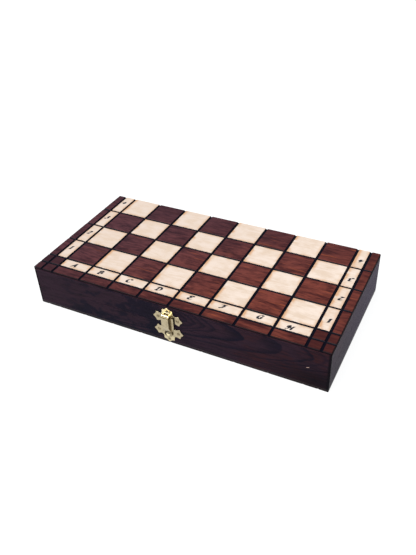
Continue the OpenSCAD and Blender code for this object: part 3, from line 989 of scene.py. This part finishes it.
# %% [markdown]
# ## Marks on the latch's plates
#
# The latch is symmetrical, so its marks are given by the way from its middle. Round each nail
# the plate is dull. Beside the strap's margins a nearly black line is painted: the shadow that
# the margins and the strap cast on the plate. The top lobe carries a painted highlight, partly
# polish from fingers, and the foot is polished by fingers too. Above the barrel the plate is
# drawn out from the wood, which is relief.

# %% Marks on the plates
NAILS_AT = ((10, 7.5), (0, 16.3))
NAIL_SHADE = (2.2, 1.3)
GAP_ACROSS = (5.9, 7.2, 0.3, 0.3)
GAP_UP = (-1.6, 10.6, 0.4, 0.5)
TOP_LOBE_UP = (11.5, 13.0)
FOOT_DOWN = (-11, -14)
DRAWN_UP = (16, 12.5)
DRAWN_HALF_W = 2.5
DRAWN_DEPTH = 2.2

hasp_low, hasp_high = corners("latch_hasp")
latch_x = (hasp_low.x + hasp_high.x) / 2
latch_z = (corners("latch_upper_plate")[1].z + corners("latch_lower_plate")[0].z) / 2


def away(across, up):
    """The distance that two sideways distances make together."""
    return (across * across + up * up).op("SQRT")


def plate_marks(finish):
    """Painted highlight and polish at the top lobe, polish at the foot, dullness round the
    nails, and painted shadow beside the hasp.
    """
    across = abs(finish.x - latch_x)
    height = finish.z - latch_z
    dull_and_shade = 0.0
    for nail_x, nail_z in NAILS_AT:
        from_nail = away(across - nail_x, abs(height) - nail_z)
        dull_and_shade = from_nail.ease(*NAIL_SHADE) * 0.6 + dull_and_shade
    drawn_out = height.ease(*DRAWN_UP) * across.under(DRAWN_HALF_W)
    finish.relief(drawn_out, DRAWN_DEPTH)
    # Painted highlight, partly polish, on the top lobe; polish on the foot.
    top_lobe = height.ease(*TOP_LOBE_UP) * (1 - drawn_out * 0.6)
    polish_and_highlight = top_lobe + height.ease(*FOOT_DOWN) * 0.35
    # Painted shadow in the gap beside the strap's margins.
    gap = across.between(*GAP_ACROSS) * height.between(*GAP_UP)
    return polish_and_highlight, dull_and_shade, gap * 0.97


dress(["latch_upper_plate", "latch_lower_plate"],
      brass("latch_brass", BRIGHT, plate_marks, dents=0.10))
print("latch centre at x %.1f, z %.1f mm" % (latch_x, latch_z))

# %% [markdown]
# ## Marks on the hasp
#
# The hasp's side walls and the ring round its boss are hollows, so they are painted darkest, as
# shade, and the ring's painted shade is heaviest at the left. A thin crease under the barrel is
# painted as a shadow line, and the strap's lower slope is darker. The barrel and the boss carry
# painted highlights. The strap's margins are rolled outward a little, which the relief shows.

# %% Marks on the hasp
WALL_AT = 3.6
WALL_ACROSS = (WALL_AT - 0.3, WALL_AT - 0.05)
WALL_OUT = (2.2, 5.5, 0.5, 0.4)
WALL_UP = (-5, -2)
ROLL_ACROSS = (WALL_AT + 0.4, 6.1)
ROLL_OUT = 2
ROLL_DEPTH = 0.75
BOSS_DROP = 9.6
BOSS_R = 2.2
BOSS_SHINE = (BOSS_R - 0.3, BOSS_R - 0.8)
RING = (BOSS_R + 0.1, BOSS_R + 1.2, 0.25, 0.7)
RING_UP = (-12.5, -10)
RING_LEFT = (1.5, -1)
SLOPE_UP = (-7, -4, 2, 3)
CREASE_UP = (11.7, 12.0, 0.2, 0.3)
BARREL_UP = (11.9, 12.3)


def hasp_marks(finish):
    """Painted highlights on the barrel and boss, and painted shade on the strap's side walls,
    round the boss and in the crease under the barrel.
    """
    right = finish.x - latch_x
    across = abs(right)
    out = front_y - finish.y
    height = finish.z - latch_z
    # Painted shade on the strap's side walls.
    wall = across.ease(*WALL_ACROSS) * out.between(*WALL_OUT) * height.ease(*WALL_UP)
    rolled = across.ease(*ROLL_ACROSS) * out.under(ROLL_OUT)
    finish.relief(1 - rolled, ROLL_DEPTH)
    from_boss = away(across, height + BOSS_DROP)
    # Painted shade in the ring round the boss, heaviest at the left.
    ring = from_boss.between(*RING) * height.ease(*RING_UP)
    ring = ring * (right.ease(*RING_LEFT) * 0.6 + 0.35)
    slope = height.between(*SLOPE_UP) * across.under(WALL_AT) * 0.3
    # Painted shadow in the crease under the barrel.
    crease = height.between(*CREASE_UP) * 0.6
    # Painted highlights on the barrel and the boss.
    polish_and_highlight = height.ease(*BARREL_UP) * 0.25 + from_boss.ease(*BOSS_SHINE)
    dull_and_shade = (wall * 0.8).most(ring).most(slope).most(crease)
    return polish_and_highlight, dull_and_shade, (wall * 0.25).most(ring * 0.85).most(crease)


dress(["latch_hasp"], brass("hasp_brass", BRIGHT, hasp_marks, dents=0.06))
print("boss of the hasp %.1f mm below the latch's middle" % BOSS_DROP)

# %% [markdown]
# ## Eased edges
#
# No real edge is sharp. A thin rounding catches the light and separates one piece from the
# next. The panels are sanded, so their edges are soft. The rails keep a crisp edge, because
# the saw has just parted them. The hasp is bent from sheet and is the roundest. Before it is
# rounded, a piece's triangles are joined into whole faces, so that only true edges are left.

# %% Eased edges
EASE_WIDTHS = {"panel": 0.15, "rail": 0.05, "hasp": 0.3, "plate": 0.14}
EASE_ELSEWHERE = 0.1
WELD_WITHIN = 0.001
FLAT_WITHIN = 0.5
SHARP_FROM = 30


def ease_edges(piece, width):
    """Joins a piece's faces and rounds its sharp edges, as sanding or tumbling does."""
    weld = piece.modifiers.new("join", "WELD")
    weld.merge_threshold = WELD_WITHIN * MM
    flat = piece.modifiers.new("whole faces", "DECIMATE")
    flat.decimate_type = "DISSOLVE"
    flat.angle_limit = math.radians(FLAT_WITHIN)
    bevel = piece.modifiers.new("eased edges", "BEVEL")
    bevel.width = width * MM
    bevel.segments = 2
    bevel.limit_method = "ANGLE"
    bevel.angle_limit = math.radians(SHARP_FROM)
    piece.modifiers.new("normals", "WEIGHTED_NORMAL")


eased = [name for name in nodes if "lining" not in name]
for name in eased:
    width = next((w for part, w in EASE_WIDTHS.items() if part in name), EASE_ELSEWHERE)
    ease_edges(nodes[name], width)
print("edges eased on", len(eased), "pieces")

# %% [markdown]
# ## Floor
#
# The photograph was made on a white sweep, and its shadows are nearly gone. So the floor is
# a light table: it glows a little by itself, which thins the shadows, and it goes to pure
# white. It lies just under the box, clear of the ink on the lower panel.

# %% Floor
FLOOR_R = 6.0
FLOOR_DROP = 0.2
FLOOR_GREY = (0.12, 0.12, 0.12)
FLOOR_GLOW = 0.95


def lay_floor():
    """Lays the floor under the box."""
    mesh = bpy.data.meshes.new("floor")
    corner = [(-1, -1), (1, -1), (1, 1), (-1, 1)]
    mesh.from_pydata([(x * FLOOR_R, y * FLOOR_R, 0) for x, y in corner], [], [(0, 1, 2, 3)])
    floor = bpy.data.objects.new("floor", mesh)
    floor.location.z = -FLOOR_DROP * MM
    bpy.context.scene.collection.objects.link(floor)
    finish = Finish("floor")
    finish.set(base_color=FLOOR_GREY, roughness=0.9, specular_ior_level=0.0,
               emission_color=(1, 1, 1), emission_strength=FLOOR_GLOW)
    mesh.materials.append(finish.material)


lay_floor()
print("floor of %.0f m" % (2 * FLOOR_R))

# %% [markdown]
# ## Light
#
# A sun that is very wide in angle is the simplest soft light: it stands for a big lit
# ceiling, and it is even over the whole floor. It comes from the front left, so the latch's
# right side falls into shade. A dim, bluish room does the rest. The wood is dark, so the
# light is strong.

# %% Light
SUN_WAY = Vector((-0.40, -0.30, 1.0))
SUN_STRENGTH = 4.35
SUN_ANGLE = 45
ROOM = (0.80, 0.88, 1.0)
ROOM_STRENGTH = 0.35


def light_room():
    """Hangs the wide sun and sets the colour of the room."""
    data = bpy.data.lights.new("ceiling", "SUN")
    data.energy = SUN_STRENGTH
    data.angle = math.radians(SUN_ANGLE)
    light = bpy.data.objects.new("ceiling", data)
    light.rotation_euler = SUN_WAY.to_track_quat("Z", "Y").to_euler()
    bpy.context.scene.collection.objects.link(light)
    world = bpy.data.worlds.new("room")
    world.use_nodes = True
    background = world.node_tree.nodes["Background"]
    background.inputs["Color"].default_value = (*ROOM, 1)
    background.inputs["Strength"].default_value = ROOM_STRENGTH
    bpy.context.scene.world = world
    bpy.context.scene.view_settings.view_transform = "Standard"


light_room()
print("sun of strength", SUN_STRENGTH, "- room of", ROOM_STRENGTH)

# %% [markdown]
